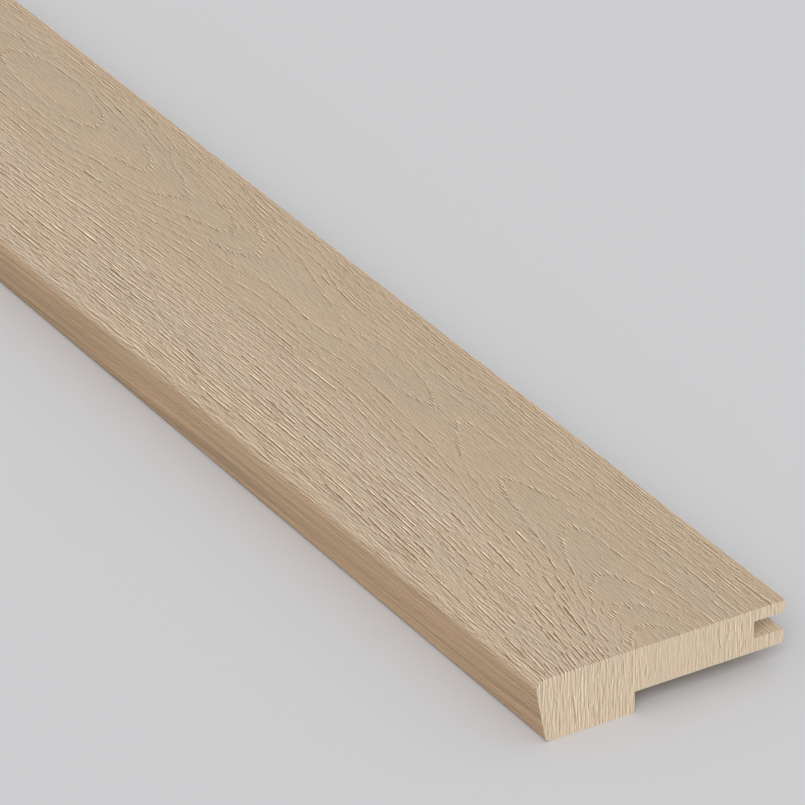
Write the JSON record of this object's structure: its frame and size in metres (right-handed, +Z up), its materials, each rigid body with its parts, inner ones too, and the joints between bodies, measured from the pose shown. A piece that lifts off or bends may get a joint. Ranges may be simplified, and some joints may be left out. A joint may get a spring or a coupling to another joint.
{
  "type": "flush stair nosing",
  "caption": "Rabbeted solid oak stair nosing with a rounded, leaning front edge and a groove along the back for flooring of the same thickness.",
  "frame": {"origin": "middle of the length and width, at the height of the nose's bottom", "axes": "+X along the board, +Y from the nose back to the floor boards, +Z up; the walked-on face is the top"},
  "size_m": [1.9812, 0.0952, 0.0238],
  "materials": {
    "oak": "wire-brushed, matt"
  },
  "bodies": {
    "root": {"stair_nosing": "oak"}
  },
  "joints": []
}
